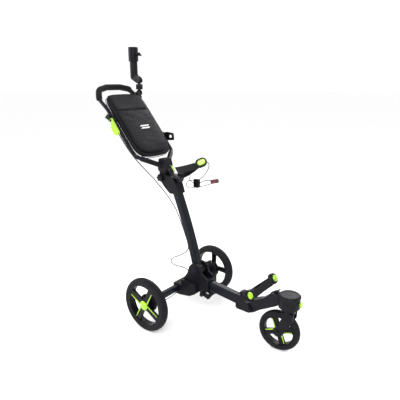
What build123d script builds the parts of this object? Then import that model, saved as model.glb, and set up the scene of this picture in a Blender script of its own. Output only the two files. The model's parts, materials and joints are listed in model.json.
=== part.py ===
"""Three-wheeled golf push trolley with a folding stem, a folding handle frame and a steering front wheel.

Millimetres. X points forwards, Y to the trolley's left and Z up. The ground is Z = 0 and the rear axle
stands at X = AXLE_X, so that the origin is the middle of the trolley's footprint. Points written as
(forward, up) count forwards from the rear axle.
"""

from build123d import *
from math import cos, pi, radians, sin, tan
import os

os.makedirs("parts", exist_ok=True)

# ---- driving dimensions ----
AXLE_X = -99.0              # rear axle, from the middle of the trolley
TRACK = 561.0               # between the middles of the two rear tyres
REAR_R = 140.0              # rear tyre
REAR_WIDTH = 45.5
FRONT_R = 101.3             # front tyre
FRONT_WIDTH = 40.0
SWIVEL_X = 651.0            # steering axis, ahead of the rear axle
TRAIL = 40.4                # front axle, behind the steering axis
STEER = 7.1                 # degrees that the front wheel is turned at rest
AXLE_R = 6.0                # steel stub shafts
RUNNING = 0.06              # radial clearance of a pin in its bore

STEM_PIVOT = (118.0, 265.0)
HANDLE_PIVOT = (-118.0, 738.0)
FRONT_PIVOT = (452.0, 158.0)
STEM_WIDE = 44.0            # stem and front tube, across the trolley
STEM_DEEP = 42.0
TUBE_DEEP = 50.0
FRAME_HALF = 138.0          # handle frame tube, from the middle plane
FRAME_R = 10.0
WALL = 2.5
CABLE_R = 2.0


# ---- helpers ----
def side(y):
    """Plane at this Y seen from the right-hand side: local x forwards, local y up, normal towards -Y."""
    return Plane(origin=(AXLE_X, y, 0), x_dir=(1, 0, 0), z_dir=(0, -1, 0))


def level(z):
    """Horizontal plane at this height, its local origin above the rear axle."""
    return Plane(origin=(AXLE_X, 0, z), x_dir=(1, 0, 0), z_dir=(0, 0, 1))


def spot(forward, y, up):
    """Point in the model's frame from distances off the rear axle."""
    return Vector(AXLE_X + forward, y, up)


def save(piece, label):
    """Label one finished piece and write it."""
    piece.part.label = label
    export_step(piece.part, f"parts/{label}.step")


def slab(low, high, points, radius=0.0):
    """Extrude a side outline between two Y values inside the open part."""
    with BuildSketch(side(high)) as outline:
        Polygon(*points, align=None)
        if radius:
            fillet(outline.vertices(), radius)
    extrude(outline.sketch, amount=high - low)


def disc(low, high, centre, radius, mode=Mode.ADD):
    """Cylinder along Y between two Y values inside the open part."""
    with BuildSketch(side(high)) as round_face:
        with Locations(centre):
            Circle(radius)
    extrude(round_face.sketch, amount=high - low, mode=mode)


def soften(edges, radius):
    """Round edges of the open part, by less where their faces leave no more room."""
    for share in (1, 0.6, 0.3):
        try:
            fillet(edges, radius * share)
            return
        except ValueError:
            continue
    print("left sharp:", len(edges), "edges")


def cord_path(points, say):
    """Straight runs joined by the largest arcs that the runs leave room for."""
    radii = []
    for before, corner, after in zip(points, points[1:], points[2:]):
        turn = radians((corner - before).get_angle(after - corner))
        shorter = min((corner - before).length, (after - corner).length)
        radii.append(0.45 * shorter / tan(turn / 2))
    print(say, "tightest arc", round(min(radii), 1), "mm")
    return FilletPolyline(*points, radius=radii)


def tube_along(points, radius, label):
    """Round tube or cord along a route, written as its own piece."""
    with BuildPart() as run:
        with BuildLine() as line:
            cord_path(points, label)
        route = line.wires()[0]
        with BuildSketch(Plane(origin=route @ 0, z_dir=route % 0)):
            Circle(radius)
        sweep(path=route)
    print(label, "length", round(route.length, 1), "volume ratio",
          round(run.part.volume / (pi * radius**2 * route.length), 4))
    return run


# ---- wheels ----
def wheel_plane(centre, outward, forward):
    """Middle plane of a wheel: normal to the outer face, local x forwards or back, local y up."""
    return Plane(origin=centre, x_dir=forward, z_dir=outward)


def radial(mid):
    """Plane that holds the wheel's axis: local x runs outwards along a spoke, local y along the axis."""
    return Plane(origin=mid.origin, x_dir=mid.x_dir, z_dir=mid.y_dir * -1)


def make_tyre(mid, outer, seat, width):
    """Moulded tyre with a rounded crown and two shallow grooves."""
    half = width / 2
    shoulder = outer - 7
    with BuildPart() as tyre:
        with BuildSketch(radial(mid)):
            with BuildLine():
                Polyline((shoulder, half - 3), (outer - 18, half), (seat, half - 4), (seat, 4 - half),
                         (outer - 18, -half), (shoulder, 3 - half))
                ThreePointArc((shoulder, 3 - half), (outer, 0), (shoulder, half - 3))
            make_face()
            with Locations((outer, 8), (outer, -8)):
                Rectangle(5, 1.6, mode=Mode.SUBTRACT)
        revolve(axis=Axis(mid.origin, mid.z_dir))
    return tyre


def make_rim(mid, lip, seat, width, hub_r, face, spoke_angle, inner_end, bearing_r, holes):
    """Rim: barrel, dished face with four rounded windows, ribs behind the spokes, hub and brake flange."""
    half = width / 2 - 3
    hub_end = face[1]
    root = hub_r + 5
    tip = lip - 1
    with BuildSketch() as windows:
        Circle(tip)
        Circle(root, mode=Mode.SUBTRACT)
        with PolarLocations(0, 4, start_angle=spoke_angle):
            Polygon((0, -12), (tip + 3, -16), (tip + 3, 16), (0, 12), align=None, mode=Mode.SUBTRACT)
        fillet(windows.vertices(), 7)
    with BuildPart() as rim:
        with BuildSketch(mid.offset(-half)):
            Circle(seat)
            Circle(lip, mode=Mode.SUBTRACT)
        extrude(amount=2 * half)
        with BuildSketch(mid.offset(face[0])):
            Circle(seat)
            add(windows.sketch_local, mode=Mode.SUBTRACT)
        extrude(amount=face[1] - face[0])
        with BuildSketch(mid.offset(inner_end)):
            Circle(hub_r)
        extrude(amount=hub_end - inner_end)
        with BuildSketch(mid.offset(-8)):
            with PolarLocations(0, 4, start_angle=spoke_angle):
                Polygon((hub_r - 3, -4), (lip + 1, -4), (lip + 1, 4), (hub_r - 3, 4), align=None)
        extrude(amount=face[0] + 9)
        if holes:
            with BuildSketch(mid.offset(-16)):
                Circle(50)
                with PolarLocations(40, 12):
                    Circle(4.6, mode=Mode.SUBTRACT)
            extrude(amount=6)
        with BuildSketch(mid.offset(inner_end - 1)):
            Circle(bearing_r - 4)
        extrude(amount=hub_end - inner_end + 2, mode=Mode.SUBTRACT)
        for start in (inner_end - 1, hub_end - 8):
            with BuildSketch(mid.offset(start)):
                Circle(bearing_r + 0.05)
            extrude(amount=9, mode=Mode.SUBTRACT)
    return rim


def make_bearings(mid, inner_end, hub_end, bearing_r, bore_r):
    """Ball bearings as plain rings, one at each end of the hub."""
    with BuildPart() as bearings:
        for start in (inner_end, hub_end - 8):
            with BuildSketch(mid.offset(start)):
                Circle(bearing_r)
                Circle(bore_r, mode=Mode.SUBTRACT)
            extrude(amount=8)
    return bearings


def make_trim(mid, base, lip, first, apex):
    """Two opposite V-shaped strips, each along the facing edges of two neighbouring spokes."""
    end = lip - 8
    width = 5.0
    with BuildPart() as trim:
        with BuildSketch(mid.offset(base)):
            with PolarLocations(0, 2, start_angle=first):
                Polygon((apex, apex), (end, apex + 2.4), (end, apex + width), (apex + width + 2, apex + width + 2),
                        (apex + width, end), (apex + 2.4, end), align=None)
        extrude(amount=2.2)
    return trim


def make_cap(mid, base, radius, height):
    """Domed hub cap with a spigot that plugs into the hub."""
    with BuildPart() as cap:
        with BuildSketch(radial(mid)):
            with BuildLine():
                Polyline((5, base + height), (0, base + height), (0, base - 5), (5.5, base - 5), (5.5, base),
                         (radius, base), (radius, base + 1.2))
                ThreePointArc((radius, base + 1.2), (radius * 0.62, base + height * 0.78), (5, base + height))
            make_face()
        revolve(axis=Axis(mid.origin, mid.z_dir))
    return cap


HUB_IN = -22.0              # inner end of a rear hub, from the tyre's middle
FACE = (6.0, 16.0)          # rear spoke face, from the tyre's middle
REAR_WHEELS = {
    "right": (wheel_plane(spot(0, -TRACK / 2, REAR_R), (0, -1, 0), (1, 0, 0)), 62.0, 152.0),
    "left": (wheel_plane(spot(0, TRACK / 2, REAR_R), (0, 1, 0), (-1, 0, 0)), 0.0, 0.0),
}
for name, (mid, spoke_angle, trim_angle) in REAR_WHEELS.items():
    save(make_tyre(mid, REAR_R, 110.3, REAR_WIDTH), f"tyre_{name}")
    save(make_rim(mid, 104, 110, REAR_WIDTH, 24, FACE, spoke_angle, HUB_IN, 14, True), f"rim_{name}")
    save(make_bearings(mid, HUB_IN, FACE[1], 14, AXLE_R + 0.05), f"bearings_{name}")
    save(make_trim(mid, FACE[1], 104, trim_angle, 9.5), f"rim_trim_{name}")
    save(make_cap(mid, FACE[1] + 2.4, 25, 4.6), f"hub_cap_{name}")

steer = radians(STEER)
FRONT_CENTRE = spot(SWIVEL_X - TRAIL * cos(steer), -TRAIL * sin(steer), FRONT_R)
FRONT_MID = wheel_plane(FRONT_CENTRE, (sin(steer), -cos(steer), 0), (cos(steer), sin(steer), 0))
save(make_tyre(FRONT_MID, FRONT_R, 77.3, FRONT_WIDTH), "tyre_front")
save(make_rim(FRONT_MID, 72, 77, FRONT_WIDTH, 17, (4.0, 13.0), 19.5, -18.0, 11, False), "rim_front")
save(make_bearings(FRONT_MID, -18.0, 13.0, 11, 5.05), "bearings_front")
save(make_trim(FRONT_MID, 13.0, 72, 109.5, 7.5), "rim_trim_front")

# ---- rear axle ----
AXLE_HALF = 246.0
AXLE_WIDE = 30.0
AXLE_DEEP = 36.0
with BuildPart() as rear_axle:
    with BuildSketch(side(AXLE_HALF)):
        with Locations((0, REAR_R)):
            RectangleRounded(AXLE_WIDE, AXLE_DEEP, 9)
            RectangleRounded(AXLE_WIDE - 2 * WALL, AXLE_DEEP - 2 * WALL, 6.5, mode=Mode.SUBTRACT)
    extrude(amount=2 * AXLE_HALF)
save(rear_axle, "rear_axle")

SHAFT_END = TRACK / 2 + 12
with BuildPart() as axle_shafts:
    disc(205, SHAFT_END, (0, REAR_R), AXLE_R)
    mirror(about=Plane.XZ)
save(axle_shafts, "axle_shafts")

PIN_SPOT = (0, REAR_R - 40)
PIN_R = 3.5
CARRIER = (248.5, 256.5)
with BuildPart() as brake_carriers:
    disc(*CARRIER, (0, REAR_R), 47)
    soften(brake_carriers.edges().filter_by(GeomType.CIRCLE), 2)
    disc(246.2, CARRIER[0], (0, REAR_R), 30)
    with BuildSketch(side(246.2)):
        with Locations((0, REAR_R)):
            RectangleRounded(AXLE_WIDE - 2 * WALL - 0.4, AXLE_DEEP - 2 * WALL - 0.4, 6.3)
    extrude(amount=246.2 - 205)
    disc(200, 260, (0, REAR_R), AXLE_R + 0.05, mode=Mode.SUBTRACT)
    disc(240, 260, PIN_SPOT, PIN_R + RUNNING, mode=Mode.SUBTRACT)
    mirror(about=Plane.XZ)
save(brake_carriers, "brake_carriers")

PIN_TIP = TRACK / 2 - 18
PIN_HEAD = TRACK / 2 - 46
for name, sign in (("right", -1), ("left", 1)):
    with BuildPart() as brake_pin:
        for low, high, radius in ((PIN_HEAD, PIN_TIP, PIN_R), (PIN_HEAD - 5, PIN_HEAD, 6.5)):
            disc(min(sign * low, sign * high), max(sign * low, sign * high), PIN_SPOT, radius)
    save(brake_pin, f"brake_pin_{name}")

cross_route = [spot(0, 50.8, 110), spot(0, 78, 106.5), spot(0, 128, 102.8), spot(0, 180, 100.6),
               spot(0, PIN_HEAD - 5.2, 100)]
cross_cable = tube_along(cross_route, CABLE_R, "brake_cross_cables")
with BuildPart() as brake_cross_cables:
    add(cross_cable.part)
    mirror(about=Plane.XZ)
save(brake_cross_cables, "brake_cross_cables")

# ---- base: axle block, stem housing, front tube ----
AXLE_ROOM = 0.2
with BuildPart() as axle_block:
    slab(-50, 50, [(-24, 120), (-14, 105), (22, 105), (92, 118), (128, 140), (128, 168), (24, 168), (-24, 166)], 5)
    with BuildSketch(side(60)):
        with Locations((0, REAR_R)):
            RectangleRounded(AXLE_WIDE + 2 * AXLE_ROOM, AXLE_DEEP + 2 * AXLE_ROOM, 9.2)
    extrude(amount=120, mode=Mode.SUBTRACT)
    soften(axle_block.faces().filter_by(Axis.Y).sort_by(Axis.Y)[0].outer_wire().edges(), 2)
    soften(axle_block.faces().filter_by(Axis.Y).sort_by(Axis.Y)[-1].outer_wire().edges(), 2)
save(axle_block, "axle_block")

TUBE_START = spot(152, 0, 204)
TUBE_AXIS = Vector(cos(radians(5.5)), 0, -sin(radians(5.5)))
TUBE_PLANE = Plane(origin=TUBE_START, x_dir=(0, 1, 0), z_dir=TUBE_AXIS)
TUBE_LONG = 276.0
with BuildPart() as front_tube:
    with BuildSketch(TUBE_PLANE):
        RectangleRounded(STEM_WIDE, TUBE_DEEP, 11)
        RectangleRounded(STEM_WIDE - 2 * WALL, TUBE_DEEP - 2 * WALL, 8.5, mode=Mode.SUBTRACT)
    extrude(amount=TUBE_LONG)
save(front_tube, "front_tube")

CHEEK_IN = 23.0
CHEEK_OUT = 32.0
CHEEK_R = 43.0
PIN_BIG = 7.0
CHEEK = [(34, 168.2), (34, 198), (62, 240), (78, 282), (118, 307), (161, 262), (204, 232), (204, 168.2)]
with BuildPart() as base_housing:
    for low, high in ((-CHEEK_OUT, -CHEEK_IN), (CHEEK_IN, CHEEK_OUT)):
        slab(low, high, CHEEK, 4)
        disc(low, high, STEM_PIVOT, CHEEK_R)
    slab(-CHEEK_IN, CHEEK_IN, [(34, 168.2), (34, 198), (60, 236), (66, 274), (76, 276), (80, 240), (112, 226),
                               (204, 236), (204, 168.2)])
    slab(-50, 50, [(34, 168.2), (34, 196), (48, 200), (128, 200), (128, 168.2)], 5)
    with BuildSketch(TUBE_PLANE.offset(-0.3)):
        RectangleRounded(STEM_WIDE + 0.4, TUBE_DEEP + 0.4, 11.2)
    extrude(amount=120, mode=Mode.SUBTRACT)
    disc(-60, 60, STEM_PIVOT, PIN_BIG + 0.05, mode=Mode.SUBTRACT)
    for y in (-13.5, 8.0):
        slab(y, y + 5.5, [(188, 170), (222, 168), (222, 152), (212, 146), (200, 146), (188, 158)])
    disc(-14, 14, (206, 154), 3 + RUNNING, mode=Mode.SUBTRACT)
save(base_housing, "base_housing")

with BuildPart() as base_pivot_pin:
    disc(-CHEEK_OUT - 0.2, CHEEK_OUT + 0.2, STEM_PIVOT, PIN_BIG)
    for low, high in ((-CHEEK_OUT - 6, -CHEEK_OUT - 0.2), (CHEEK_OUT + 0.2, CHEEK_OUT + 6)):
        disc(low, high, STEM_PIVOT, 17)
    for sign in (-1, 1):
        ends = base_pivot_pin.faces().filter_by(Axis.Y).sort_by(Axis.Y)[0 if sign < 0 else -1]
        soften(ends.edges(), 3)
save(base_pivot_pin, "base_pivot_pin")

with BuildPart() as fold_pedal:
    slab(-7.4, 7.4, [(200, 161), (212, 161), (213, 148), (196, 126), (186, 112), (150, 122), (142, 146),
                     (150, 152), (164, 138), (184, 134)], 3)
    disc(-7.4, 7.4, (206, 154), 7)
    slab(-17, 17, [(139, 150), (150, 154), (158, 141), (150, 118), (134, 122)], 3)
    disc(-13.5, 13.5, (206, 154), 3)
save(fold_pedal, "fold_pedal")

# ---- front knuckle and its hinge ----
KNUCKLE_IN = 22.6
KNUCKLE_OUT = 30.0
KNUCKLE = [(376, 150), (384, 143), (452, 143), (467, 150), (467, 166), (446, 188), (432, 216), (376, 220)]
with BuildPart() as front_knuckle:
    slab(-KNUCKLE_OUT, KNUCKLE_OUT, KNUCKLE, 4)
    with BuildSketch(side(KNUCKLE_IN)):
        Polygon((429, 130), (490, 130), (490, 240), (429, 240), align=None)
    extrude(amount=2 * KNUCKLE_IN, mode=Mode.SUBTRACT)
    with BuildSketch(TUBE_PLANE):
        RectangleRounded(STEM_WIDE + 0.4, TUBE_DEEP + 0.4, 11.2)
    extrude(amount=TUBE_LONG + 0.3, mode=Mode.SUBTRACT)
    disc(-60, 60, FRONT_PIVOT, 5.05, mode=Mode.SUBTRACT)
save(front_knuckle, "front_knuckle")

with BuildPart() as front_hinge_pin:
    disc(-KNUCKLE_OUT - 0.2, KNUCKLE_OUT + 0.2, FRONT_PIVOT, 5)
    disc(-KNUCKLE_OUT - 4.2, -KNUCKLE_OUT - 0.2, FRONT_PIVOT, 9)
    disc(KNUCKLE_OUT + 0.2, KNUCKLE_OUT + 4.2, FRONT_PIVOT, 9)
save(front_hinge_pin, "front_hinge_pin")

# ---- lower bag cradle, on the knuckle ----
LOWER_TIP = (511.0, 114.0, 292.0)
LOWER_FACE = Vector(0.85, 0, 0.527)
LOWER_ACROSS = Vector(-0.527, 0, 0.85)


def cradle_bar(tip, bottom, wide, thick, lean):
    """Saddle bar bent in an arc through its two tips and its lowest point."""
    right = spot(tip[0], -tip[1], tip[2])
    left = spot(tip[0], tip[1], tip[2])
    with BuildLine() as arc:
        ThreePointArc(right, spot(*bottom), left)
    route = arc.wires()[0]
    with BuildSketch(Plane(origin=route @ 0, x_dir=lean, z_dir=route % 0)) as section:
        RectangleRounded(wide, thick, thick / 2 - 0.5)
    sweep(section.sketch, path=route)


with BuildPart() as lower_cradle:
    cradle_bar((494, 112, 281), (452, 0, 244), 30, 12, LOWER_ACROSS)
    for y in (-LOWER_TIP[1], LOWER_TIP[1]):
        with BuildSketch(Plane(origin=spot(LOWER_TIP[0], y, LOWER_TIP[2]) - LOWER_FACE * 24, z_dir=LOWER_FACE)):
            Circle(28)
        extrude(amount=24)
        front = lower_cradle.faces().filter_by(GeomType.PLANE).filter_by_position(Axis.Y, y - 2, y + 2)
        soften(front.sort_by(Axis.X)[-1].edges(), 9)
        with BuildSketch(Plane(origin=spot(LOWER_TIP[0], y, LOWER_TIP[2]) - LOWER_FACE * 3, z_dir=LOWER_FACE)):
            Circle(17.3)
        extrude(amount=5, mode=Mode.SUBTRACT)
    slab(-18, 18, [(392, 222), (436, 218), (449, 236), (462, 244), (456, 258), (436, 248), (412, 234), (392, 232)], 3)
save(lower_cradle, "lower_cradle")

DOME_R = (17**2 + 11**2) / 22
with BuildPart() as lower_caps:
    for y in (-LOWER_TIP[1], LOWER_TIP[1]):
        base = spot(LOWER_TIP[0], y, LOWER_TIP[2]) - LOWER_FACE * 3
        with BuildSketch(Plane(origin=base, x_dir=(0, 1, 0), z_dir=Vector(0, 1, 0).cross(LOWER_FACE))):
            with BuildLine():
                Polyline((0, 14), (0, 0), (17, 0), (17, 3))
                RadiusArc((17, 3), (0, 14), -DOME_R)
            make_face()
        revolve(axis=Axis(base, LOWER_FACE))
save(lower_caps, "lower_caps")

with BuildPart() as lower_strap:
    with BuildSketch(Plane(origin=spot(508, 0, 282), x_dir=(0, 1, 0), z_dir=LOWER_FACE)):
        Rectangle(168, 36)
    extrude(amount=3)
save(lower_strap, "lower_strap")

# ---- front arm, swivel housing and lock ----
HOUSING_R = 50.0
ARM = [(430, 200), (472, 216), (511, 234), (540, 258), (566, 284), (640, 284), (640, 238), (612, 238), (585, 220),
       (548, 198), (508, 175), (482, 155), (466, 145), (448, 145), (438, 150), (430, 164)]
with BuildPart() as front_arm:
    slab(-21.8, 21.8, ARM, 4)
    with BuildSketch(level(236)):
        with Locations((SWIVEL_X, 0)):
            Circle(HOUSING_R)
    extrude(amount=50)
    soften(front_arm.edges().filter_by(GeomType.CIRCLE).group_by(Axis.Z)[0], 5)
    with BuildSketch(level(250)):
        with Locations((SWIVEL_X, 0)):
            Circle(HOUSING_R - 6)
    extrude(amount=40, mode=Mode.SUBTRACT)
    with BuildSketch(level(230)):
        with Locations((SWIVEL_X, 0)):
            Circle(8 + RUNNING)
    extrude(amount=30, mode=Mode.SUBTRACT)
    with BuildSketch(Plane(origin=spot(SWIVEL_X, 0, 264), z_dir=(1, 0, 0))):
        Circle(4 + RUNNING)
    extrude(amount=60, mode=Mode.SUBTRACT)
    disc(-60, 60, FRONT_PIVOT, 5 + RUNNING, mode=Mode.SUBTRACT)
    disc(-60, 60, (561, 272), 2 + RUNNING, mode=Mode.SUBTRACT)
    with BuildSketch(side(8)):
        Polygon((546, 266), (570, 262), (592, 270), (592, 300), (560, 300), align=None)
    extrude(amount=16, mode=Mode.SUBTRACT)
save(front_arm, "front_arm")

with BuildPart() as caster_cover:
    with BuildSketch(Plane(origin=spot(SWIVEL_X, 0, 286.2), x_dir=(1, 0, 0), z_dir=(0, -1, 0))):
        with BuildLine():
            Polyline((0, 12), (0, 0), (HOUSING_R + 2, 0), (HOUSING_R + 2, 5))
            ThreePointArc((HOUSING_R + 2, 5), (HOUSING_R - 4, 10.4), (HOUSING_R - 14, 12))
            Line((HOUSING_R - 14, 12), (0, 12))
        make_face()
    revolve(axis=Axis(spot(SWIVEL_X, 0, 0), (0, 0, 1)))
    with BuildSketch(level(297)):
        with Locations((SWIVEL_X, 0)):
            Circle(34)
    extrude(amount=3, mode=Mode.SUBTRACT)
    with BuildSketch(side(9)):
        Polygon((590, 280), (608, 280), (608, 310), (590, 310), align=None)
    extrude(amount=18, mode=Mode.SUBTRACT)
save(caster_cover, "caster_cover")

with BuildPart() as front_latch:
    slab(-7.2, 7.2, [(553, 270), (562, 264), (586, 286), (601, 303), (598, 306), (580, 293), (556, 279)], 1.2)
    disc(-7.2, 7.2, (561, 272), 4.5)
    disc(-20, 20, (561, 272), 2)
save(front_latch, "front_latch")

with BuildPart() as swivel_lock:
    with BuildSketch(Plane(origin=spot(SWIVEL_X + 24, 0, 264), z_dir=(1, 0, 0))):
        Circle(4)
    extrude(amount=34)
    with BuildSketch(Plane(origin=spot(SWIVEL_X + 56, 0, 264), z_dir=(1, 0, 0))):
        RectangleRounded(26, 18, 6)
    extrude(amount=6)
    soften(swivel_lock.faces().sort_by(Axis.X)[-1].edges(), 2)
save(swivel_lock, "swivel_lock")

# ---- steering fork ----
LEG_IN = 22.5
LEG_OUT = 30.5
FORK_MID = Plane(origin=spot(SWIVEL_X, 0, 0), x_dir=FRONT_MID.x_dir, z_dir=FRONT_MID.z_dir)
LEG = [(-28, 214), (-24, 180), (-44, 132), (-62, 114), (-62, 92), (-44, 80), (-20, 88), (8, 132), (30, 176),
       (32, 214)]
with BuildPart() as caster_fork:
    with BuildSketch(Plane(origin=spot(SWIVEL_X, 0, 207), x_dir=FORK_MID.x_dir, z_dir=(0, 0, 1))):
        Circle(31)
    extrude(amount=26)
    with BuildSketch(Plane(origin=spot(SWIVEL_X, 0, 230), z_dir=(0, 0, 1))):
        Circle(8)
    extrude(amount=44)
    with BuildSketch(Plane(origin=spot(SWIVEL_X, 0, 256), x_dir=FORK_MID.x_dir, z_dir=(0, 0, 1))):
        Circle(22)
        with Locations((20, 0), (-20, 0)):
            Rectangle(12, 14, mode=Mode.SUBTRACT)
    extrude(amount=16)
    for low, high in ((-LEG_OUT, -LEG_IN), (LEG_IN, LEG_OUT)):
        with BuildSketch(FORK_MID.offset(low)) as leg:
            Polygon(*LEG, align=None)
            fillet(leg.vertices(), 5)
        extrude(amount=high - low)
    with BuildSketch(FORK_MID.offset(-40)):
        with Locations((-TRAIL, FRONT_R)):
            Circle(5.05)
    extrude(amount=80, mode=Mode.SUBTRACT)
save(caster_fork, "caster_fork")

with BuildPart() as front_axle_bolt:
    with BuildSketch(FRONT_MID.offset(-36)):
        Circle(5)
    extrude(amount=68)
    with BuildSketch(FRONT_MID.offset(LEG_OUT + 0.2)):
        Circle(11)
    extrude(amount=4)
    with BuildSketch(FRONT_MID.offset(-LEG_OUT - 6.2)):
        RegularPolygon(9, 6)
    extrude(amount=6)
save(front_axle_bolt, "front_axle_bolt")

# ---- stem ----
STEM_LOW = spot(103, 0, 303)
STEM_MID = spot(40, 0, 500)
STEM_HIGH = spot(-41, 0, 700)
with BuildLine() as stem_line:
    ThreePointArc(STEM_LOW, STEM_MID, STEM_HIGH)
STEM_ROUTE = stem_line.wires()[0]
STEM_END = Plane(origin=STEM_ROUTE @ 0, x_dir=(0, 1, 0), z_dir=STEM_ROUTE % 0)
with BuildPart() as stem_tube:
    with BuildSketch(STEM_END):
        RectangleRounded(STEM_WIDE, STEM_DEEP, 10)
        RectangleRounded(STEM_WIDE - 2 * WALL, STEM_DEEP - 2 * WALL, 7.5, mode=Mode.SUBTRACT)
    sweep(path=STEM_ROUTE)
save(stem_tube, "stem_tube")

KNUCKLE_R = 30.0
with BuildPart() as stem_foot:
    disc(-22.4, 22.4, STEM_PIVOT, KNUCKLE_R)
    with BuildSketch(STEM_END.offset(-0.2)):
        RectangleRounded(STEM_WIDE, STEM_DEEP, 10)
    extrude(amount=-28)
    with BuildSketch(STEM_END.offset(-4)):
        RectangleRounded(STEM_WIDE - 2 * WALL - 0.5, STEM_DEEP - 2 * WALL - 2, 6)
    extrude(amount=40)
    disc(-60, 60, STEM_PIVOT, PIN_BIG + RUNNING, mode=Mode.SUBTRACT)
save(stem_foot, "stem_foot")

HEAD_IN = 20.6
HEAD_OUT = 28.0
STEM_TOP = Plane(origin=STEM_ROUTE @ 1, x_dir=(0, 1, 0), z_dir=STEM_ROUTE % 1)
with BuildPart() as stem_head:
    slab(-HEAD_OUT, HEAD_OUT, [(2, 664), (-5, 688), (-17, 720), (-36, 751), (-60, 752), (-98, 716), (-118, 714),
                               (-96, 690), (-58, 660)], 4)
    for low, high in ((-HEAD_OUT, -HEAD_IN), (HEAD_IN, HEAD_OUT)):
        slab(low, high, [(-56, 680), (-50, 748), (-110, 762), (-134, 750), (-138, 728), (-118, 714), (-90, 696)], 4)
        disc(low, high, HANDLE_PIVOT, 23)
    with BuildSketch(side(HEAD_IN)):
        with Locations(HANDLE_PIVOT):
            Circle(27)
        Polygon((-150, 700), (-96, 712), (-84, 730), (-84, 770), (-150, 790), align=None)
    extrude(amount=2 * HEAD_IN, mode=Mode.SUBTRACT)
    with BuildSketch(STEM_TOP.offset(0.3)):
        RectangleRounded(STEM_WIDE + 0.5, STEM_DEEP + 0.5, 10.2)
    extrude(amount=-80, mode=Mode.SUBTRACT)
    disc(-60, 60, HANDLE_PIVOT, 5.05, mode=Mode.SUBTRACT)
save(stem_head, "stem_head")

with BuildPart() as upper_hinge_pin:
    disc(-HEAD_OUT - 0.2, HEAD_OUT + 0.2, HANDLE_PIVOT, 5)
    disc(HEAD_OUT + 0.2, HEAD_OUT + 5, HANDLE_PIVOT, 10)
save(upper_hinge_pin, "upper_hinge_pin")

with BuildPart() as fold_knob:
    disc(-HEAD_OUT - 15, -HEAD_OUT - 0.4, HANDLE_PIVOT, 15)
    with BuildSketch(side(-HEAD_OUT - 2)):
        with Locations(HANDLE_PIVOT):
            with PolarLocations(15, 6):
                Circle(5)
    extrude(amount=13)
    soften(fold_knob.faces().filter_by(Axis.Y).sort_by(Axis.Y)[0].edges(), 1.5)
save(fold_knob, "fold_knob")

# ---- route of the cord that closes the upper cradle ----
TOGGLE_MID = (146.0, 94.0, 734.0)
BUNGEE_R = 1.5
TOGGLE_RISE = 16.0          # degrees that the toggle's long side leans up


def in_toggle(along, across):
    """Point in the toggle's middle plane, from its centre."""
    lean = radians(TOGGLE_RISE)
    return spot(TOGGLE_MID[0] + along * cos(lean) - across * sin(lean), TOGGLE_MID[1],
                TOGGLE_MID[2] + along * sin(lean) + across * cos(lean))


BUNGEE = [spot(61, 134, 820), spot(76, 132, 818), spot(86, 126, 804), spot(84, 118, 784), spot(75, 111, 764),
          spot(62, 104, 745), spot(45, 99, 730), spot(22, 97, 721), spot(-4, 96, 718), spot(-28, 94, 713),
          spot(-43, 92, 699), spot(-43, 91, 682), spot(-28, 90, 672), spot(-4, 89, 676), spot(20, 89, 684),
          spot(46, 90, 691), spot(72, 92, 697), spot(98, 94, 707), in_toggle(-31, -10), in_toggle(-18, -7.5),
          in_toggle(-5, -8), in_toggle(4, -4), in_toggle(4, 4), in_toggle(-5, 8), in_toggle(-18, 7.5),
          in_toggle(-40, 10), spot(84, 93, 731), spot(64, 93.5, 719), spot(44, 93, 709), spot(24, 92, 703),
          spot(4, 89, 705), spot(-8, 82, 716), spot(-6, 74, 730), spot(2, 67, 742), spot(10, 62, 751)]

# ---- upper bag cradle, on the stem head ----
UPPER_TIP = (42.0, 113.0, 818.0)
with BuildPart() as upper_cradle:
    cradle_bar((30, 104, 808), (-6, 0, 758), 34, 12, Vector(-0.6, 0, 0.8))
    for sign in (-1, 1):
        face = Vector(0.62, -0.66 * sign, 0.42).normalized()
        tip = spot(UPPER_TIP[0], sign * UPPER_TIP[1], UPPER_TIP[2])
        along = Vector(0, sign, 0) - face * Vector(0, sign, 0).dot(face)
        with BuildSketch(Plane(origin=tip - face * 20, x_dir=along.normalized(), z_dir=face)):
            RectangleRounded(64, 48, 23)
        extrude(amount=22)
        soften(upper_cradle.faces().filter_by(lambda f: (f.center() - tip - face * 2).length < 1.5).edges(), 6)
        with BuildSketch(Plane(origin=tip - face * 3, x_dir=along.normalized(), z_dir=face)):
            RectangleRounded(44.6, 29.6, 14)
        extrude(amount=6, mode=Mode.SUBTRACT)
    add(tube_along(BUNGEE, BUNGEE_R + 0.25, "anchor room").part, mode=Mode.SUBTRACT)
    slab(-16, 16, [(-35, 752.4), (-16, 721), (0, 728), (8, 752), (0, 772), (-14, 770)], 3)
save(upper_cradle, "upper_cradle")

with BuildPart() as upper_caps:
    for sign in (-1, 1):
        face = Vector(0.62, -0.66 * sign, 0.42).normalized()
        tip = spot(UPPER_TIP[0], sign * UPPER_TIP[1], UPPER_TIP[2])
        along = Vector(0, sign, 0) - face * Vector(0, sign, 0).dot(face)
        with BuildSketch(Plane(origin=tip - face * 3, x_dir=along.normalized(), z_dir=face)):
            RectangleRounded(44, 29, 13.8)
        extrude(amount=12)
        top = upper_caps.faces().filter_by(lambda f: (f.center() - tip - face * 9).length < 1.0)
        soften(top.edges(), 5)
save(upper_caps, "upper_caps")

with BuildPart() as upper_strap:
    with BuildSketch(Plane(origin=spot(36, 0, 803), x_dir=(0, 1, 0), z_dir=(0.8, 0, 0.6))):
        Rectangle(150, 38)
    extrude(amount=3)
save(upper_strap, "upper_strap")

# ---- handle frame ----
FRAME_SIDE = [(-112, 15, 798), (-193, FRAME_HALF, 857), (-297, FRAME_HALF, 978), (-391, FRAME_HALF, 1087),
              (-456, FRAME_HALF, 1137), (-486, 113, 1184), (-500, 48, 1197)]


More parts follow.
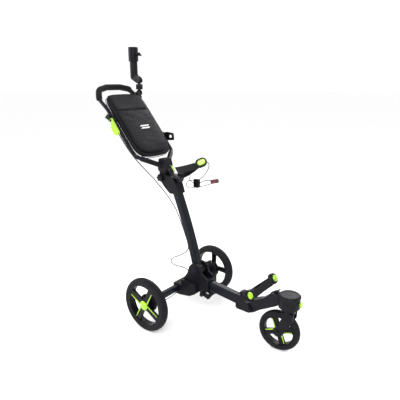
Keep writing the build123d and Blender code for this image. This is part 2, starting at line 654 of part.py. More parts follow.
def frame_route():
    """Route of the handle frame's tube, up the right-hand side, over the grip and down the left."""
    right = [spot(x, -y, z) for x, y, z in FRAME_SIDE]
    left = [spot(x, y, z) for x, y, z in reversed(FRAME_SIDE)]
    return right + left


FRAME_BENDS = [22, 150, 150, 60, 40, 60, 60, 40, 60, 150, 150, 22]
with BuildLine() as frame_line:
    FilletPolyline(*frame_route(), radius=FRAME_BENDS)
FRAME_ROUTE = frame_line.wires()[0]
FRAME_END = Plane(origin=FRAME_ROUTE @ 0, z_dir=FRAME_ROUTE % 0)
with BuildPart() as handle_frame:
    with BuildSketch(FRAME_END):
        Circle(FRAME_R)
        Circle(FRAME_R - 2, mode=Mode.SUBTRACT)
    sweep(path=FRAME_ROUTE)
save(handle_frame, "handle_frame")

with BuildPart() as frame_room:
    with BuildSketch(FRAME_END):
        Circle(FRAME_R + 0.2)
    sweep(path=FRAME_ROUTE)

YOKE = [(-134, 838), (-94, 838), (-84, 812), (-82, 786), (-92, 760), (-104, 748), (-134, 748), (-142, 786)]
with BuildPart() as handle_yoke:
    slab(-27, 27, YOKE[:4] + [(-90, 772), (-138, 772), (-142, 786)], 6)
    slab(-20.2, 20.2, YOKE)
    disc(-20.2, 20.2, HANDLE_PIVOT, 21)
    for sign in (-1, 1):
        foot = spot(FRAME_SIDE[0][0], sign * FRAME_SIDE[0][1], FRAME_SIDE[0][2])
        reach = spot(FRAME_SIDE[1][0], sign * FRAME_SIDE[1][1], FRAME_SIDE[1][2]) - foot
        with BuildSketch(Plane(origin=foot, z_dir=reach)):
            Circle(13.5)
        extrude(amount=0.8 * reach.length)
    add(frame_room.part, mode=Mode.SUBTRACT)
    disc(-60, 60, HANDLE_PIVOT, 5 + RUNNING, mode=Mode.SUBTRACT)
save(handle_yoke, "handle_yoke")

with BuildPart() as grip:
    with BuildSketch(FRAME_END):
        Circle(16.5)
        Circle(FRAME_R + 0.2, mode=Mode.SUBTRACT)
    sweep(path=FRAME_ROUTE)
    with BuildSketch(side(110)):
        Polygon((-560, 1130), (-450, 1130), (-450, 1240), (-560, 1240), align=None)
    extrude(amount=270, mode=Mode.INTERSECT)
save(grip, "grip")

# ---- storage bag ----
BAG_UP = Vector(-0.653, 0, 0.757)
BAG_OUT = Vector(0.757, 0, 0.653)
BAG_PLANE = Plane(origin=spot(-193, 0, 857) - BAG_OUT * 8, x_dir=(0, 1, 0), z_dir=BAG_OUT)
with BuildPart() as storage_bag:
    with BuildSketch(BAG_PLANE) as outline:
        Polygon((-122, 20), (-106, -2), (-40, -20), (40, -20), (106, -2), (122, 20), (122, 345), (112, 362), (108, 384),
                (-108, 384), (-112, 362), (-122, 345), align=None)
        fillet(outline.vertices(), 10)
    extrude(amount=48)
save(storage_bag, "storage_bag")

# ---- brake lever ----
LEVER_PIVOT = (-339.2, 1037.2)


def by_lever(along, out):
    """Side-view point from the lever's pivot, down the handle tube and out from it."""
    return (LEVER_PIVOT[0] + 0.653 * along + 0.757 * out, LEVER_PIVOT[1] - 0.757 * along + 0.653 * out)


with BuildPart() as lever_bracket:
    with BuildSketch(Plane(origin=spot(-366.2, -FRAME_HALF, 1058.2), x_dir=(0, 1, 0), z_dir=(0.653, 0, -0.757))):
        RectangleRounded(30, 30, 8)
        Circle(FRAME_R + 0.3, mode=Mode.SUBTRACT)
    extrude(amount=44)
    slab(-171, -152, [by_lever(-33, -19), by_lever(-33, 7), by_lever(-24, 7), by_lever(-23, -19)])
    slab(-171, -166.4, [by_lever(-33, -19), by_lever(-33, 7), by_lever(5, 6), by_lever(10, -5)], 3)
    disc(-175, -148, LEVER_PIVOT, 2.5 + RUNNING, mode=Mode.SUBTRACT)
    add(frame_room.part, mode=Mode.SUBTRACT)
save(lever_bracket, "lever_bracket")

with BuildPart() as brake_lever:
    slab(-166, -153.4, [by_lever(-8, -7), by_lever(-8, 7), by_lever(20, 7), by_lever(82, 3), by_lever(90, -8),
                        by_lever(82, -25), by_lever(58, -30), by_lever(32, -24), by_lever(12, -8)], 4)
    disc(-171.4, -149, LEVER_PIVOT, 2.5)
save(brake_lever, "brake_lever")

# ---- accessory bracket on the left side tube ----
with BuildPart() as accessory_bracket:
    with BuildSketch(Plane(origin=spot(-268, FRAME_HALF, 944), x_dir=(0, 1, 0), z_dir=(0.653, 0, -0.757))):
        RectangleRounded(30, 30, 8)
    extrude(amount=32)
    slab(148, 156, [(-270, 946), (-238, 954), (-190, 950), (-186, 912), (-240, 906), (-256, 922)], 4)
    with BuildSketch(side(175)):
        with Locations((-210, 931)):
            RectangleRounded(24, 16, 3)
    extrude(amount=30, mode=Mode.SUBTRACT)
    add(frame_room.part, mode=Mode.SUBTRACT)
save(accessory_bracket, "accessory_bracket")

# ---- umbrella holder ----
LINK_LOW = (-430, 1166)
LINK_HIGH = (-428, 1234)
HOLDER_Y = 132.0
SOCKET_X = -468.0
with BuildPart() as umbrella_clamp:
    slab(HOLDER_Y - 16, HOLDER_Y + 22, [(-490, 1146), (-478, 1128), (-440, 1122), (-432, 1140), (-446, 1166),
                                        (-480, 1170)], 5)
    for y in (HOLDER_Y - 9, HOLDER_Y + 4.2):
        slab(y, y + 4.8, [(-452, 1160), (-440, 1134), (-426, 1150), (-421, 1166), (-430, 1175), (-440, 1172)])
        disc(y, y + 4.8, LINK_LOW, 15)
    add(frame_room.part, mode=Mode.SUBTRACT)
    disc(100, 160, LINK_LOW, 3 + RUNNING, mode=Mode.SUBTRACT)
save(umbrella_clamp, "umbrella_clamp")

with BuildPart() as umbrella_link:
    slab(HOLDER_Y - 4, HOLDER_Y + 4, [(-437, 1162), (-424, 1160), (-420, 1200), (-420, 1238), (-436, 1238),
                                      (-438, 1200)], 3)
    disc(HOLDER_Y - 4, HOLDER_Y + 4, LINK_LOW, 8)
    slab(HOLDER_Y - 13, HOLDER_Y + 13, [(-443, 1184), (-415, 1184), (-414, 1213), (-442, 1213)], 4)
    disc(HOLDER_Y - 4, HOLDER_Y + 4, LINK_HIGH, 10)
    disc(HOLDER_Y - 9.4, HOLDER_Y + 9.4, LINK_LOW, 3)
    disc(HOLDER_Y - 13.4, HOLDER_Y + 13.4, LINK_HIGH, 3)
save(umbrella_link, "umbrella_link")

SOCKET_BORE = 14.5
with BuildPart() as umbrella_socket:
    with BuildSketch(level(1254)):
        with Locations((SOCKET_X, HOLDER_Y)):
            Circle(21.5)
    extrude(amount=90)
    with BuildSketch(level(1338)):
        with Locations((SOCKET_X, HOLDER_Y)):
            Circle(27.5)
    extrude(amount=77)
    soften(umbrella_socket.edges().filter_by(GeomType.CIRCLE).group_by(Axis.Z)[-1], 4)
    slab(HOLDER_Y - 13, HOLDER_Y + 13, [(-484, 1266), (-484, 1244), (-470, 1236), (-436, 1218), (-418, 1222),
                                        (-414, 1240), (-424, 1252), (-446, 1262), (-452, 1272)], 3)
    disc(HOLDER_Y - 13, HOLDER_Y + 13, LINK_HIGH, 15)
    with BuildSketch(side(HOLDER_Y + 4.4)):
        Polygon((-445, 1190), (-400, 1190), (-400, 1260), (-445, 1248), align=None)
    extrude(amount=8.8, mode=Mode.SUBTRACT)
    with BuildSketch(level(1270)):
        with Locations((SOCKET_X, HOLDER_Y)):
            Circle(SOCKET_BORE)
    extrude(amount=160, mode=Mode.SUBTRACT)
    disc(100, 160, LINK_HIGH, 3 + RUNNING, mode=Mode.SUBTRACT)
    with BuildSketch(Plane(origin=spot(SOCKET_X, HOLDER_Y, 1376), z_dir=(1, 0, 0))):
        Circle(4 + RUNNING)
    extrude(amount=40, mode=Mode.SUBTRACT)
save(umbrella_socket, "umbrella_socket")

with BuildPart() as umbrella_knob:
    with BuildSketch(Plane(origin=spot(SOCKET_X + 16, HOLDER_Y, 1376), z_dir=(1, 0, 0))):
        Circle(4)
    extrude(amount=26)
    with BuildSketch(Plane(origin=spot(SOCKET_X + 32, HOLDER_Y, 1376), z_dir=(1, 0, 0))):
        Circle(9)
    extrude(amount=18)
    with BuildSketch(Plane(origin=spot(SOCKET_X + 38, HOLDER_Y, 1376), z_dir=(1, 0, 0))):
        SlotOverall(38, 9, rotation=70)
    extrude(amount=12)
    soften(umbrella_knob.faces().sort_by(Axis.X)[-1].edges(), 1.2)
save(umbrella_knob, "umbrella_knob")

# ---- brake cable ----
UPPER_CABLE = [spot(-347.5, -137, 1014.6), spot(-311, -143, 973), spot(-278, -143.5, 935),
               spot(-246, -142, 898), spot(-219, -137, 866), spot(-197, -126, 836), spot(-174, -110, 804),
               spot(-151, -92, 772), spot(-130, -74, 742)]
save(tube_along(UPPER_CABLE, CABLE_R, "brake_cable_upper"), "brake_cable_upper")

LOWER_CABLE = [spot(-130, -74, 741.4), spot(-112, -54, 706), spot(-91, -34, 668), spot(-66, -16, 624),
               spot(-35, -6, 574), spot(-10, -3, 524), spot(13, -4, 474), spot(34, -3, 424), spot(50, -4, 384),
               spot(47, -6, 360), spot(18, -8, 332), spot(-22, -10, 308), spot(-58, -12, 290),
               spot(-76, -13, 268), spot(-62, -12, 250), spot(-32, -10, 247), spot(4, -8, 251),
               spot(32, -6, 248), spot(56, -5, 236)]
save(tube_along(LOWER_CABLE, CABLE_R, "brake_cable_lower"), "brake_cable_lower")

# ---- bungee with its cord lock and toggle ----

save(tube_along(BUNGEE, BUNGEE_R, "bungee_cord"), "bungee_cord")

with BuildPart() as cord_lock:
    with BuildSketch(Plane(origin=spot(28, 93, 706), x_dir=(1, 0, 0), z_dir=(0, -1, 0)).offset(-9)):
        RectangleRounded(34, 46, 6)
    extrude(amount=18)
    soften(cord_lock.faces().filter_by(Axis.Y).edges(), 2)
    add(tube_along(BUNGEE, BUNGEE_R + 0.25, "cord room").part, mode=Mode.SUBTRACT)
save(cord_lock, "cord_lock")

with BuildPart() as bungee_toggle:
    with BuildSketch(Plane(origin=spot(*TOGGLE_MID), x_dir=(cos(radians(TOGGLE_RISE)), 0, sin(radians(TOGGLE_RISE))),
                           z_dir=(0, -1, 0)).offset(-5)):
        RectangleRounded(50, 22, 5)
    extrude(amount=10)
    soften(bungee_toggle.faces().filter_by(Axis.Y).edges(), 2)
    add(tube_along(BUNGEE, BUNGEE_R + 0.25, "toggle room").part, mode=Mode.SUBTRACT)
save(bungee_toggle, "bungee_toggle")
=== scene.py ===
"""Looks of the folding golf push trolley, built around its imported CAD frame.

Row frame, in metres; spot() takes millimetres forward of the rear axle.
"""
import json
from math import cos, pi, radians, sin

import bmesh
import bpy
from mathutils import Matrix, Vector, noise


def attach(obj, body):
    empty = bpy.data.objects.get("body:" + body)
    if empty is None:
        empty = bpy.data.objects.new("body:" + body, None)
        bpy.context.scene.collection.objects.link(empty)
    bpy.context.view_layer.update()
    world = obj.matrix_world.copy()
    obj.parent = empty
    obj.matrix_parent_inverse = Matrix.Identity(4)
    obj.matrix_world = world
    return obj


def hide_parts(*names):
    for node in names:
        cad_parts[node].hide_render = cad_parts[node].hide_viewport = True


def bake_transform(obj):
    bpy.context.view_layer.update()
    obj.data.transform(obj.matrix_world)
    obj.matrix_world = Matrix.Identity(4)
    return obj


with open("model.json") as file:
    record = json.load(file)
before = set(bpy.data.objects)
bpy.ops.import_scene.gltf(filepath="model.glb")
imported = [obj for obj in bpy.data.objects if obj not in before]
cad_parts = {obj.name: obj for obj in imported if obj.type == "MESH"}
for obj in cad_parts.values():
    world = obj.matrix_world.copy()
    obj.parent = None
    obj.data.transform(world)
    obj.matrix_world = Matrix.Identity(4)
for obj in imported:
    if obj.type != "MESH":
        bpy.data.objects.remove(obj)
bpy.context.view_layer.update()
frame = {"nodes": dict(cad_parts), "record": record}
NODES = frame["nodes"]
SCENE = bpy.context.scene
SCENE.view_settings.view_transform = "Standard"
AXLE = -0.099               # rear axle, forward of the row frame's origin


def spot(forward, y, up):
    """Point in the row frame from millimetres off the rear axle."""
    return Vector((AXLE + forward / 1000, y / 1000, up / 1000))


# ---- camera ----
CAMERA_PLACE = Vector((1.4229 + AXLE, -1.6127, 1.2421))
CAMERA_AIM = Vector((-0.6029, 0.7491, -0.2745))
camera = bpy.data.objects.new("camera", bpy.data.cameras.new("camera"))
SCENE.collection.objects.link(camera)
SCENE.camera = camera
camera.data.lens = 38.18
camera.data.clip_end = 50
camera.location = CAMERA_PLACE
camera.rotation_euler = CAMERA_AIM.to_track_quat("-Z", "Y").to_euler()


# ---- materials ----
BLOTCH_SCALE = 18.0
WEAVE_SCALE = 210
WORN_EDGE = 0.0014          # width of a worn edge


def add_node(tree, kind, **sockets):
    """New shader node with its input values or links set by socket name; underscores stand for spaces."""
    made = tree.nodes.new(kind)
    for name, value in sockets.items():
        socket = made.inputs[name.replace("_", " ")]
        if isinstance(value, bpy.types.NodeSocket):
            tree.links.new(value, socket)
        else:
            socket.default_value = value
    return made


def mixed(tree, factor, first, second):
    """Colour mix of two values or links by a linked factor."""
    made = tree.nodes.new("ShaderNodeMix")
    made.data_type = "RGBA"
    tree.links.new(factor, made.inputs[0])
    for index, value in ((6, first), (7, second)):
        if isinstance(value, bpy.types.NodeSocket):
            tree.links.new(value, made.inputs[index])
        else:
            made.inputs[index].default_value = (*value, 1)
    return made.outputs[2]


def ranged(tree, value, low, high, to_low, to_high):
    """Map Range of a linked value, clamped."""
    return add_node(tree, "ShaderNodeMapRange", Value=value, From_Min=low, From_Max=high, To_Min=to_low,
                    To_Max=to_high).outputs[0]


def maths(tree, kind, first, second):
    """Math node of two values or links."""
    made = tree.nodes.new("ShaderNodeMath")
    made.operation = kind
    for index, value in enumerate((first, second)):
        if isinstance(value, bpy.types.NodeSocket):
            tree.links.new(value, made.inputs[index])
        else:
            made.inputs[index].default_value = value
    return made.outputs[0]


def wave(tree, vector, direction, scale, distortion=0.0):
    """Bands across one axis."""
    made = add_node(tree, "ShaderNodeTexWave", Vector=vector, Scale=scale, Distortion=distortion)
    made.bands_direction = direction
    return made.outputs["Fac"]


def surface(name, dark, light, rough, grain=1500.0, depth=0.00006, wear=0.0, pattern=None, turn=0.0,
            metallic=0.0, coat=0.0, sheen=0.0, specular=0.14):
    """Procedural material: uneven colour and gloss, a fine grain or a weave, and paler worn edges."""
    material = bpy.data.materials.new(name)
    material.use_nodes = True
    tree = material.node_tree
    shader = tree.nodes["Principled BSDF"]
    place = tree.nodes.new("ShaderNodeTexCoord").outputs["Object"]
    if turn:
        place = add_node(tree, "ShaderNodeMapping", Vector=place, Rotation=(0, turn, 0)).outputs[0]
    blotch = add_node(tree, "ShaderNodeTexNoise", Vector=place, Scale=BLOTCH_SCALE, Detail=4.0).outputs[0]
    fine = add_node(tree, "ShaderNodeTexNoise", Vector=place, Scale=grain, Detail=2.0).outputs[0]
    height = fine
    colour = mixed(tree, ranged(tree, blotch, 0.35, 0.65, 0, 1), dark, light)
    if pattern == "weave":
        over = wave(tree, place, "X", WEAVE_SCALE, 0.6)
        under = wave(tree, place, "Y", WEAVE_SCALE, 0.6)
        height = maths(tree, "ADD", maths(tree, "MAXIMUM", over, under), maths(tree, "MULTIPLY", fine, 0.3))
        colour = mixed(tree, maths(tree, "MULTIPLY", over, under), colour, [c * 1.7 for c in light])
    if pattern == "ribs":
        rib = wave(tree, place, "Z", 130, 0.3)
        pick = wave(tree, place, "Y", 260, 0.5)
        height = maths(tree, "ADD", rib, maths(tree, "MULTIPLY", pick, 0.4))
        colour = mixed(tree, rib, [c * 0.55 for c in dark], colour)
    if pattern == "braid":
        height = add_node(tree, "ShaderNodeTexVoronoi", Vector=place, Scale=900).outputs["Distance"]
        colour = mixed(tree, height, [c * 2.2 for c in light], dark)
    if pattern == "cells":
        cells = add_node(tree, "ShaderNodeTexVoronoi", Vector=place, Scale=700).outputs["Distance"]
        height = maths(tree, "ADD", cells, maths(tree, "MULTIPLY", fine, 0.5))
    if wear:
        worn = tree.nodes.new("ShaderNodeBevel")
        worn.samples = 4
        worn.inputs["Radius"].default_value = WORN_EDGE
        plain = tree.nodes.new("ShaderNodeNewGeometry")
        dot = tree.nodes.new("ShaderNodeVectorMath")
        dot.operation = "DOT_PRODUCT"
        tree.links.new(worn.outputs[0], dot.inputs[0])
        tree.links.new(plain.outputs["Normal"], dot.inputs[1])
        edge = ranged(tree, dot.outputs["Value"], 1.0, 0.75, 0, wear)
        scuff = maths(tree, "MULTIPLY", edge, ranged(tree, fine, 0.4, 0.7, 0.3, 1))
        colour = mixed(tree, scuff, colour, [min(1, c * 2.4 + 0.02) for c in light])
    tree.links.new(colour, shader.inputs["Base Color"])
    tree.links.new(ranged(tree, blotch, 0.3, 0.7, rough - 0.05, rough + 0.07), shader.inputs["Roughness"])
    bump = add_node(tree, "ShaderNodeBump", Strength=0.6, Distance=depth, Height=height)
    tree.links.new(bump.outputs[0], shader.inputs["Normal"])
    shader.inputs["Metallic"].default_value = metallic
    shader.inputs["Specular IOR Level"].default_value = specular
    shader.inputs["Coat Weight"].default_value = coat
    shader.inputs["Sheen Weight"].default_value = sheen
    return material


BAG_TURN = radians(-49.2)   # slope of the bag, for its weave
LOOKS = {
    "tyre": surface("tyre_rubber", (0.004, 0.004, 0.005), (0.008, 0.008, 0.01), 0.6, 900, 0.0002),
    "wheel_plastic": surface("wheel_moulding", (0.002, 0.002, 0.003), (0.005, 0.005, 0.007), 0.36, wear=0.25),
    "green_plastic": surface("green_moulding", (0.27, 0.5, 0.006), (0.36, 0.6, 0.01), 0.34, 1100, 0.00004,
                             coat=0.3, specular=0.5),
    "frame_black": surface("powder_coat", (0.002, 0.0025, 0.005), (0.005, 0.006, 0.011), 0.3, 750, 0.00008,
                           wear=0.3, coat=0.04),
    "black_plastic": surface("black_moulding", (0.0025, 0.0025, 0.004), (0.006, 0.006, 0.009), 0.4, 1300, 0.00012,
                             wear=0.35),
    "steel": surface("zinc_plate", (0.42, 0.42, 0.44), (0.55, 0.55, 0.56), 0.3, 2200, 0.00003, metallic=1.0),
    "cable_black": surface("cable_jacket", (0.003, 0.003, 0.004), (0.006, 0.006, 0.008), 0.45, 1800),
    "webbing": surface("elastic_webbing", (0.005, 0.005, 0.007), (0.014, 0.015, 0.018), 0.75, 1400, 0.0003,
                       pattern="ribs", sheen=0.04),
    "bag_cloth": surface("woven_cloth", (0.003, 0.003, 0.004), (0.006, 0.006, 0.008), 0.62, 1400, 0.00025,
                         pattern="weave", turn=BAG_TURN, sheen=0.02),
    "grip_foam": surface("grip_foam", (0.004, 0.004, 0.005), (0.009, 0.009, 0.01), 0.65, 900, 0.00025,
                         pattern="cells"),
    "cord": surface("braided_cord", (0.004, 0.004, 0.005), (0.009, 0.009, 0.01), 0.6, 1500, 0.0002,
                    pattern="braid"),
    "red_plastic": surface("red_moulding", (0.06, 0.003, 0.009), (0.1, 0.005, 0.014), 0.35, 1100, 0.00005,
                           coat=0.2, specular=0.5),
}
WHITE_PRINT = surface("white_print", (0.68, 0.68, 0.68), (0.8, 0.8, 0.8), 0.5, 1500)


def dress(piece, slot):
    """Give a piece the material of one of the record's slots."""
    piece.data.materials.clear()
    piece.data.materials.append(LOOKS[slot])


for entry in frame["record"]["subparts"]:
    dress(NODES[entry["node"]], entry["material_slot"])


# ---- building helpers ----
def piece_from(name, mesh, slot, body):
    """Link a mesh as a named piece on a body, with its slot's material."""
    made = bpy.data.objects.new(name, mesh)
    SCENE.collection.objects.link(made)
    mesh.polygons.foreach_set("use_smooth", [True] * len(mesh.polygons))
    dress(made, slot)
    if body:
        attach(made, body)
    return made


def spline(name, points, radius, closed=False):
    """NURBS curve of round section with these control points."""
    data = bpy.data.curves.new(name, "CURVE")
    data.dimensions = "3D"
    data.resolution_u = 8
    data.bevel_depth = radius
    data.bevel_resolution = 3
    data.use_fill_caps = not closed
    line = data.splines.new("NURBS")
    line.points.add(len(points) - 1)
    for control, point in zip(line.points, points):
        control.co = (*point, 1)
    line.order_u = 3
    line.use_cyclic_u = closed
    line.use_endpoint_u = not closed
    return data


def curve_piece(name, points, radius, slot, body, closed=False):
    """Cord, piping or bar along a route."""
    made = bpy.data.objects.new(name, spline(name, points, radius, closed))
    SCENE.collection.objects.link(made)
    dress(made, slot)
    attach(made, body)
    return made


def curve_mesh(name, points, radius):
    """Mesh of a round cord along a route."""
    holder = bpy.data.objects.new(name, spline(name, points, radius))
    SCENE.collection.objects.link(holder)
    graph = bpy.context.evaluated_depsgraph_get()
    mesh = bpy.data.meshes.new_from_object(holder.evaluated_get(graph))
    bpy.data.objects.remove(holder)
    mesh.name = name
    return mesh


def grid_mesh(name, rows):
    """Closed mesh from a front and a back grid of equal size, joined around their edges."""
    front, back = rows
    high, wide = len(front), len(front[0])
    mesh = bmesh.new()
    a = [[mesh.verts.new(p) for p in row] for row in front]
    b = [[mesh.verts.new(p) for p in row] for row in back]
    for i in range(high - 1):
        for j in range(wide - 1):
            mesh.faces.new((a[i][j], a[i][j + 1], a[i + 1][j + 1], a[i + 1][j]))
            mesh.faces.new((b[i][j], b[i + 1][j], b[i + 1][j + 1], b[i][j + 1]))
    rim = [(0, j) for j in range(wide)] + [(i, wide - 1) for i in range(1, high)]
    rim += [(high - 1, j) for j in range(wide - 2, -1, -1)] + [(i, 0) for i in range(high - 2, 0, -1)]
    for (i, j), (k, m) in zip(rim, rim[1:] + rim[:1]):
        mesh.faces.new((a[i][j], b[i][j], b[k][m], a[k][m]))
    bmesh.ops.recalc_face_normals(mesh, faces=mesh.faces)
    data = bpy.data.meshes.new(name)
    mesh.to_mesh(data)
    mesh.free()
    return data


# ---- cords ----
TOGGLE_MID = (146.0, 94.0, 734.0)
TOGGLE_RISE = radians(16)
BUNGEE_R = 0.002
CABLE_R = 0.0025


def in_toggle(along, across):
    """Point in the toggle's middle plane, from its centre."""
    return spot(TOGGLE_MID[0] + along * cos(TOGGLE_RISE) - across * sin(TOGGLE_RISE), TOGGLE_MID[1],
                TOGGLE_MID[2] + along * sin(TOGGLE_RISE) + across * cos(TOGGLE_RISE))


BUNGEE = [spot(61, 134, 820), spot(76, 132, 818), spot(86, 126, 804), spot(84, 118, 784), spot(75, 111, 764),
          spot(62, 104, 745), spot(45, 99, 730), spot(22, 97, 721), spot(-4, 96, 718), spot(-28, 94, 713),
          spot(-43, 92, 699), spot(-43, 91, 682), spot(-28, 90, 672), spot(-4, 89, 676), spot(20, 89, 684),
          spot(46, 90, 691), spot(72, 92, 697), spot(98, 94, 707), in_toggle(-31, -10), in_toggle(-18, -7.5),
          in_toggle(-5, -8), in_toggle(4, -4), in_toggle(4, 4), in_toggle(-5, 8), in_toggle(-18, 7.5),
          in_toggle(-40, 10), spot(84, 93, 731), spot(64, 93.5, 719), spot(44, 93, 709), spot(24, 92, 703),
          spot(4, 89, 705), spot(-8, 82, 716), spot(-6, 74, 730), spot(2, 67, 742), spot(10, 62, 751)]
bungee = curve_piece("bungee", BUNGEE, BUNGEE_R, "cord", "stem")
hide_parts("bungee_cord")

UPPER_CABLE = [spot(-347.5, -137, 1014.6), spot(-311, -143, 973), spot(-278, -143.5, 935),
               spot(-246, -142, 898), spot(-219, -137, 866), spot(-197, -126, 836), spot(-174, -110, 804),
               spot(-151, -92, 772), spot(-130, -74, 742)]
STEM_CABLE = [spot(-112, -54, 706), spot(-91, -34, 668), spot(-66, -16, 624), spot(-35, -6, 574)]
LOOP_CABLE = [spot(-35, -6, 574), spot(-10, -3, 524), spot(13, -4, 474), spot(34, -3, 424), spot(50, -4, 384),
              spot(47, -6, 360), spot(18, -8, 332), spot(-22, -10, 308), spot(-58, -12, 290), spot(-76, -13, 268),
              spot(-62, -12, 250), spot(-32, -10, 247), spot(4, -8, 251), spot(32, -6, 248), spot(56, -5, 236)]
handle_cable = piece_from("handle_cable", curve_mesh("handle_cable", UPPER_CABLE + STEM_CABLE, CABLE_R),
                          "cable_black", None)
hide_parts("brake_cable_upper")
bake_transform(handle_cable)
loop_cable = piece_from("loop_cable", curve_mesh("loop_cable", LOOP_CABLE, CABLE_R), "cable_black", None)
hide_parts("brake_cable_lower")
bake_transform(loop_cable)

# ---- storage bag ----
UP = Vector((-0.653, 0, 0.757))
OUT = Vector((0.757, 0, 0.653))
BAG_ORIGIN = spot(-193, 0, 857) - OUT * 0.008
BAG_HALF, BAG_LOW, BAG_TOP = 127, -23, 382
POCKET_HALF, POCKET_LOW, POCKET_TOP = 114, -4, 266
PANEL_HALF, PANEL_MID, PANEL_RISE = 110, 324, 48
SIM_STEPS = 20


def on_bag(across, up, out):
    """Point on the bag from millimetres across, up its slope and out of it."""
    return BAG_ORIGIN + Vector((0, across / 1000, 0)) + UP * (up / 1000) + OUT * (out / 1000)


def pillow(name, place, front, back, mid, wide=44, high=64, power=9.0):
    """Closed crowned form: place gives the outline, front and back its depth either side of mid."""
    front_rows, back_rows = [], []
    for i in range(high + 1):
        b = sin(pi / 2 * (2 * i / high - 1))
        front_rows.append([])
        back_rows.append([])
        for j in range(wide + 1):
            a = sin(pi / 2 * (2 * j / wide - 1))
            u, v = place(a, b)
            crown = ((1 - abs(a) ** power) * (1 - abs(b) ** power)) ** 0.35
            front_rows[-1].append(on_bag(u, v, mid + 0.4 + crown * front(a, b)))
            back_rows[-1].append(on_bag(u, v, mid - 0.4 - crown * back(a, b)))
    return grid_mesh(name, (front_rows, back_rows))


def rounded(a, b, amount=0.04):
    """Pull the corners of the unit square in."""
    return a * (1 - amount * abs(b) ** 8), b * (1 - amount * abs(a) ** 8)


def bag_outline(a, b):
    """The bag's outline: straight sides, a slightly bowed top and a bottom that drops in the middle."""
    a, b = rounded(a, b)
    share = (b + 1) / 2
    half = BAG_HALF - 14 * max(0.0, 0.1 - share) / 0.1 - 12 * max(0.0, share - 0.88) / 0.12
    low = BAG_LOW + 18 * abs(a) ** 3
    high = BAG_TOP - 5 * a * a
    return half * a, low + (high - low) * share


def puff(piece, voxel, pressure, cap, hold):
    """Short cloth run with inner pressure; hold says how firmly a rest point is sewn down, from 0 to 1."""
    remesh = piece.modifiers.new("remesh", "REMESH")
    remesh.mode = "VOXEL"
    remesh.voxel_size = voxel
    graph = bpy.context.evaluated_depsgraph_get()
    piece.data = bpy.data.meshes.new_from_object(piece.evaluated_get(graph))
    piece.modifiers.clear()
    rest = [v.co.copy() for v in piece.data.vertices]
    sewn = piece.vertex_groups.new(name="sewn")
    for index, point in enumerate(rest):
        sewn.add([index], hold(point), "REPLACE")
    cloth = piece.modifiers.new("cloth", "CLOTH")
    cloth.settings.use_pressure = True
    cloth.settings.uniform_pressure_force = pressure
    cloth.settings.vertex_group_mass = "sewn"
    cloth.settings.effector_weights.gravity = 0
    cloth.point_cache.frame_end = SIM_STEPS
    for step in range(1, SIM_STEPS + 1):
        SCENE.frame_set(step)
    moved = [v.co.copy() for v in piece.evaluated_get(bpy.context.evaluated_depsgraph_get()).data.vertices]
    piece.modifiers.clear()
    for vertex, before, after in zip(piece.data.vertices, rest, moved):
        shift = after - before
        if shift.length > cap:
            shift *= cap / shift.length
        vertex.co = before + shift
    SCENE.frame_set(1)


def bag_parts(point):
    """Across, up and out of a point, in millimetres."""
    offset = point - BAG_ORIGIN
    return offset.y * 1000, offset.dot(UP) * 1000, offset.dot(OUT) * 1000


def soft_detail(piece, amount):
    """Low creases, deepest where cloth is slack, that fade at the sewn edges."""
    for vertex in piece.data.vertices:
        across, up, out = bag_parts(vertex.co)
        slack = max(0.0, 1 - (abs(across) / 118) ** 4)
        ridge = noise.noise(Vector((across / 60, up / 26, out / 50))) + 0.5 * noise.noise(
            Vector((across / 22, up / 14, 3.0)))
        vertex.co += OUT * (amount / 1000 * slack * ridge)


def bag_hold(point):
    """Sewn edge seams and the seam under the opening hold the body's cloth."""
    across, up, _ = bag_parts(point)
    seam = abs(across) > 118 or up < 2 or up > 366 or abs(up - 274) < 5
    return 1.0 if seam else 0.0


body_mesh = pillow("bag_body", bag_outline, lambda a, b: 15 + 4 * b, lambda a, b: 16, 18)
bag_body = piece_from("bag_body", body_mesh, "bag_cloth", None)


def pocket_outline(a, b):
    """The front pocket's outline, with a mouth that droops in the middle."""
    a, b = rounded(a, b, 0.07)
    share = (b + 1) / 2
    low = POCKET_LOW + 15 * abs(a) ** 3
    high = POCKET_TOP + 6 * a * a
    half = POCKET_HALF - 8 * max(0.0, 0.2 - share) / 0.2
    return half * a, low + (high - low) * share


pocket = piece_from("bag_pocket", pillow("bag_pocket", pocket_outline, lambda a, b: 10 - 2 * b, lambda a, b: 5, 34),
                    "bag_cloth", None)


def panel_outline(a, b):
    """The panel above the pocket's mouth."""
    u, v = rounded(a, b)
    return PANEL_HALF * u, PANEL_MID + PANEL_RISE * v - 4 * a * a


flap = piece_from("bag_top_panel", pillow("bag_top_panel", panel_outline, lambda a, b: 6 - 3 * (1 - a * a),
                                          lambda a, b: 4, 36, high=24), "bag_cloth", None)


def pocket_hold(point):
    """The pocket's sides and bottom are sewn down."""
    across, up, _ = bag_parts(point)
    return 1.0 if abs(across) > 106 or up < 20 else 0.0


puff(bag_body, 0.005, 3.0, 0.005, bag_hold)
puff(pocket, 0.004, 3.0, 0.004, pocket_hold)
soft_detail(bag_body, 1.2)
soft_detail(pocket, 1.6)
soft_detail(flap, 0.8)
for soft in (bag_body, pocket, flap):
    soft.data.polygons.foreach_set("use_smooth", [True] * len(soft.data.polygons))
    subdivided = soft.modifiers.new("subdivision", "SUBSURF")
    subdivided.levels = subdivided.render_levels = 1
    dress(soft, "bag_cloth")
    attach(soft, "handle")
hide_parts("storage_bag")


def outline_points(outline, out, count=72):
    """Points round an outline of the unit square, at one distance out of the bag."""
    points = []
    for k in range(count):
        angle = 2 * pi * k / count
        reach = max(abs(cos(angle)), abs(sin(angle)))
        u, v = outline(cos(angle) / reach, sin(angle) / reach)
        points.append(on_bag(u, v, out))
    return points


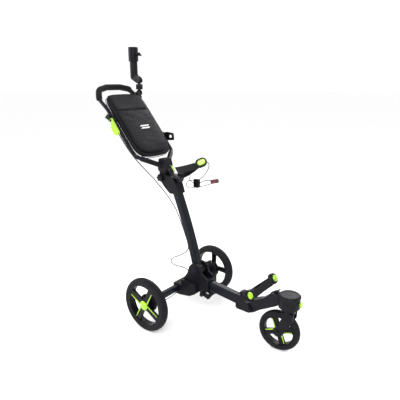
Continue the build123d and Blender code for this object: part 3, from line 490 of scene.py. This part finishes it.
curve_piece("pocket_piping", outline_points(pocket_outline, 35.5), 0.0016, "bag_cloth", "handle", True)
curve_piece("bag_piping_front", outline_points(bag_outline, 28), 0.0018, "bag_cloth", "handle", True)
curve_piece("bag_piping_back", outline_points(bag_outline, 6), 0.0018, "bag_cloth", "handle", True)
curve_piece("top_lip", [on_bag(x, 378 - 5 * (x / 116) ** 2, 24) for x in range(-100, 101, 20)], 0.0045,
            "black_plastic", "handle")

# ---- plain printed bars ----
BAR_HALF, BAR_RISE, BAR_SLANT = 30, 4, 6
for index, middle in enumerate((154, 140)):
    bar = pillow(f"bag_print_{index}", lambda a, b: (BAR_HALF * a + BAR_SLANT * b + 4, middle + BAR_RISE * b),
                 lambda a, b: 0.8, lambda a, b: 3.5, 48.4, 24, 6, 10)
    printed = piece_from(f"bag_print_{index}", bar, "bag_cloth", "handle")
    printed.data.materials[0] = WHITE_PRINT


# ---- webbing ----
SAG = 3


def webbing(name, node, middle, face, across_half, width, body):
    """Stretched strap across a cradle: a thin ribbon that bows back, with a doubled fold at each end."""
    middle = middle + Vector(face) * 0.0015
    face = Vector(face).normalized()
    rise = Vector((-face.z, 0, face.x))
    front_rows, back_rows = [], []
    for i in range(9):
        side = 2 * i / 8 - 1
        front_row, back_row = [], []
        for j in range(61):
            along = 2 * j / 60 - 1
            doubled = 1 if abs(along) > 0.8 else 0
            bow = -SAG * (1 - along * along) + 0.6 * side * side
            half = 1.0 + 0.6 * doubled
            spread = width / 2 * (1 - 0.05 * (1 - along * along))
            base = middle + Vector((0, across_half * along / 1000, 0)) + rise * (side * spread / 1000)
            front_row.append(base + face * ((bow + half) / 1000))
            back_row.append(base + face * ((bow - half) / 1000))
        front_rows.append(front_row)
        back_rows.append(back_row)
    made = piece_from(name, grid_mesh(name, (front_rows, back_rows)), "webbing", body)
    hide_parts(node)


webbing("upper_webbing", "upper_strap", spot(36, 0, 803), (0.8, 0, 0.6), 76, 38, "stem")
webbing("lower_webbing", "lower_strap", spot(508, 0, 282), (0.85, 0, 0.527), 85, 36, "chassis")

# ---- lights and floor ----
FLOOR = 40
floor_mesh = bpy.data.meshes.new("floor")
floor_mesh.from_pydata([(-FLOOR, -FLOOR, 0), (FLOOR, -FLOOR, 0), (FLOOR, FLOOR, 0), (-FLOOR, FLOOR, 0)], [],
                       [(0, 1, 2, 3)])
floor = bpy.data.objects.new("floor", floor_mesh)
SCENE.collection.objects.link(floor)
floor.data.materials.append(surface("pale_floor", (0.93, 0.93, 0.93), (0.96, 0.96, 0.96), 0.8, 60))
world = bpy.data.worlds.new("studio")
SCENE.world = world
world.use_nodes = True
world.node_tree.nodes["Background"].inputs["Color"].default_value = (1, 1, 1, 1)
world.node_tree.nodes["Background"].inputs["Strength"].default_value = 1.04
for name, place, power, size in (("key", (2.2, -2.6, 3.0), 110, 1.6), ("fill", (-2.6, -2.0, 2.0), 60, 2.2),
                                 ("back", (-0.6, 2.8, 2.6), 60, 2.0)):
    lamp = bpy.data.objects.new(name, bpy.data.lights.new(name, "AREA"))
    lamp.data.energy = power
    lamp.data.size = size
    lamp.location = place
    lamp.rotation_euler = (Vector((0, 0, 0.6)) - Vector(place)).to_track_quat("-Z", "Y").to_euler()
    SCENE.collection.objects.link(lamp)
